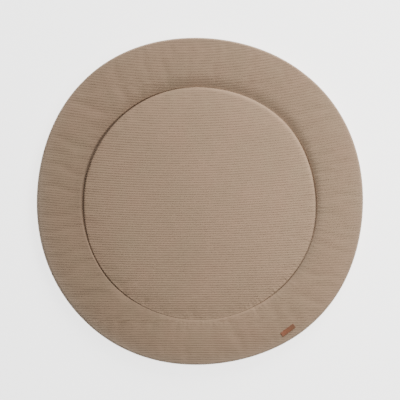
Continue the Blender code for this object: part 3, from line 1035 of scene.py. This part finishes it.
def ribbed_cloth_finish():
    """Taupe wide-rib velvety cloth: darkened narrow valleys, partly painted shade, streaks along the
    ribs, fuzz and mottling, with the painted shade, highlight and pale light of its UV maps.
    """
    finish = Finish("ribbed cloth")
    run = finish.run("cloth_run")
    place = finish.place()
    phase = finish.maths("FRACT", finish.pair("cloth_run")[1])
    off_crest = finish.maths("ABSOLUTE", finish.maths("SUBTRACT", phase, 0.5))
    streak = finish.noise(finish.stretched(run, STREAK_RUN), scale=1.0, detail=3.0, roughness=0.6)
    thin = finish.noise(finish.stretched(run, THIN_RUN), scale=1.0, detail=2.0, roughness=0.6)
    fuzz = finish.noise(place, scale=620.0, detail=3.0, roughness=0.6)
    mottle = finish.noise(place, scale=13.0, detail=3.0, roughness=0.55)
    patch = finish.noise(place, scale=15.0, detail=1.0)
    tone, pressed = finish.pair("nap_tone")
    ribs, rubbed = finish.pair("nap_wear")

    # The valleys' darkening: partly the cloth's darker ground between its cords, partly painted shade.
    valley_shade = finish.eased(off_crest, low=0.26, high=0.47)
    valley_shade = finish.maths("MULTIPLY", valley_shade, finish.eased(thin, low=0.22, high=0.72))
    valley_shade = finish.maths("MULTIPLY", valley_shade, ribs)
    shown = finish.maths("MULTIPLY_ADD", finish.eased(patch, low=0.34, high=0.50), 0.20, 0.85)
    valley_shade = finish.maths("MULTIPLY", valley_shade, shown)
    for noise, amount in ((streak, 0.14), (fuzz, 0.30), (mottle, 0.12)):
        tone = finish.maths("ADD", tone, finish.swing(noise, amount))
    cloth = finish.between(CLOTH_PLAIN, CLOTH_ROSY, patch)
    # The cloth gets painted shade in its valleys and channel, and painted pale light on the rim and
    # beside the seam.
    for colour, share in ((CLOTH_VALLEY_SHADED, valley_shade), (CLOTH_PRESSED_SHADED, pressed), (CLOTH_PAINTED_PALE, rubbed)):
        cloth = finish.between(cloth, colour, share)
    finish.surface(
        Base_Color=finish.scaled(cloth, tone),
        Roughness=0.95,
        Specular_IOR_Level=0.15,
        Sheen_Weight=0.25,
        Sheen_Roughness=0.5,
        Sheen_Tint=CLOTH_SHEEN,
    )
    pile = finish.maths("ADD", fuzz, finish.maths("MULTIPLY", streak, 0.5))
    finish.bump(pile, distance=0.0006, strength=0.8)
    return finish.material


def backing_cloth_finish():
    """Plain taupe cotton for the back: a fine plain weave with slubs."""
    finish = Finish("backing cloth")
    place = finish.place()
    warp = finish.noise(finish.stretched(place, WARP_RUN), scale=1.0)
    weft = finish.noise(finish.stretched(place, WEFT_RUN), scale=1.0)
    weave = finish.maths("ADD", warp, weft)
    uneven = finish.maths("MULTIPLY", finish.maths("SUBTRACT", weave, 1.0), 0.45)
    colour = finish.scaled(BACK_COLOUR, finish.maths("ADD", uneven, 1.0))
    finish.surface(Base_Color=colour, Roughness=0.9, Specular_IOR_Level=0.2)
    finish.bump(weave, distance=0.0003, strength=0.7)
    return finish.material


def thread_finish():
    """Dark taupe polyester thread with a twist."""
    finish = Finish("thread")
    twist = finish.noise(finish.place(), scale=2600.0, detail=1.0)
    tone = finish.maths("ADD", finish.swing(twist, 0.5), 1.0)
    finish.surface(Base_Color=finish.scaled(THREAD_COLOUR, tone), Roughness=0.6)
    finish.bump(twist, distance=0.0002, strength=0.6)
    return finish.material


def leather_finish():
    """Reddish tan leather: lighter at its lower end, darker towards its edges, with a fine grain."""
    finish = Finish("tan leather")
    run = finish.run("leather_run")
    along, across = finish.pair("leather_run")
    along = finish.eased(along, low=-0.5 * TAG_LENGTH, high=0.5 * TAG_LENGTH)
    near_edge = finish.eased(finish.maths("ABSOLUTE", across), low=0.0046, high=0.0065)
    cell = {"Vector": run, "Scale": 900.0}
    cells = finish.node("ShaderNodeTexVoronoi", cell, feature="DISTANCE_TO_EDGE")
    grain = finish.eased(cells.outputs["Distance"], low=0.0, high=0.35)
    cloudy = finish.noise(run, scale=240.0, detail=3.0, roughness=0.6)
    hide = finish.between(HIDE_LOW_END, HIDE_HIGH_END, along)
    hide = finish.between(hide, HIDE_EDGE, finish.maths("MULTIPLY", near_edge, 0.5))
    tone = finish.maths("ADD", finish.swing(cloudy, 0.45), finish.swing(grain, 0.25))
    finish.surface(
        Base_Color=finish.scaled(hide, finish.maths("ADD", tone, 1.0)),
        Roughness=finish.maths("MULTIPLY_ADD", cloudy, 0.2, 0.45),
    )
    finish.bump(grain, distance=0.00012, strength=0.6)
    return finish.material


def floor_finish():
    """A plain pale floor that stays white."""
    finish = Finish("pale floor")
    finish.surface(
        Base_Color=FLOOR_COLOUR,
        Roughness=0.9,
        Emission_Color=(1.0, 1.0, 1.0, 1.0),
        Emission_Strength=FLOOR_GLOW,
    )
    return finish.material


# The studio: the camera looks straight down, the key light comes from the head of the mat and the
# fill from its right.
CAMERA_HEIGHT = 4.0
FRAME_WIDTH = 1.0924
SENSOR_WIDTH = 36.0
VIEW_RIGHT_OF_SEAM_CENTRE = 0.0002
VIEW_ABOVE_SEAM_CENTRE = 0.0081
FLOOR_SIDE = 12.0
FLOOR_DROP = 0.0004
FLOOR_GLOW = 2.6
SoftBox = namedtuple("SoftBox", "name x y z tilt_deg turn_deg side power colour")
SOFT_BOXES = (
    SoftBox("key", 1.22, 2.82, 1.79, 60, 157, 2.0, 170.0, (1.0, 0.960, 0.911)),
    SoftBox("fill", 0.80, 0.00, 1.25, 0, 0, 1.0, 16.5, (1.0, 0.960, 0.900)),
)
SKY_STRENGTH = 0.15
SKY_COLOUR = (0.80, 0.90, 1.0, 1.0)


def studio():
    """The floor, the camera over the middle of the photograph's frame, the soft boxes and the sky."""
    scene = bpy.context.scene
    middle_x, middle_y = outline_middle()
    half = 0.5 * FLOOR_SIDE
    corners = half * np.array([[-1.0, -1.0, 0.0], [1.0, -1.0, 0.0], [1.0, 1.0, 0.0], [-1.0, 1.0, 0.0]])
    floor, _ = make_piece("floor", corners, np.array([[0, 1, 2], [0, 2, 3]]), [floor_finish()])
    floor.location.z = -FLOOR_DROP

    camera = bpy.data.objects.new("camera", bpy.data.cameras.new("camera"))
    camera_x = VIEW_RIGHT_OF_SEAM_CENTRE - middle_x
    camera_y = VIEW_ABOVE_SEAM_CENTRE - middle_y
    camera.location = (camera_x, camera_y, CAMERA_HEIGHT)
    camera.data.sensor_width = SENSOR_WIDTH
    camera.data.lens = SENSOR_WIDTH * (CAMERA_HEIGHT - BORDER_HEIGHT) / FRAME_WIDTH
    scene.collection.objects.link(camera)
    scene.camera = camera

    for box in SOFT_BOXES:
        light = bpy.data.objects.new(box.name, bpy.data.lights.new(box.name, "AREA"))
        light.location = (box.x, box.y, box.z)
        light.rotation_euler = (math.radians(box.tilt_deg), 0.0, math.radians(box.turn_deg))
        light.data.size = box.side
        light.data.energy = box.power
        light.data.color = box.colour
        scene.collection.objects.link(light)

    world = bpy.data.worlds.new("studio")
    world.use_nodes = True
    sky = world.node_tree.nodes["Background"]
    sky.inputs["Color"].default_value = SKY_COLOUR
    sky.inputs["Strength"].default_value = SKY_STRENGTH
    scene.world = world


def main():
    """Builds the studio and the pieces."""
    studio()
    filling = filled_out()
    thread = thread_finish()
    mat_piece(filling, ribbed_cloth_finish(), backing_cloth_finish())
    seam_stitches(thread)
    leather_tag(filling, leather_finish(), thread)


main()
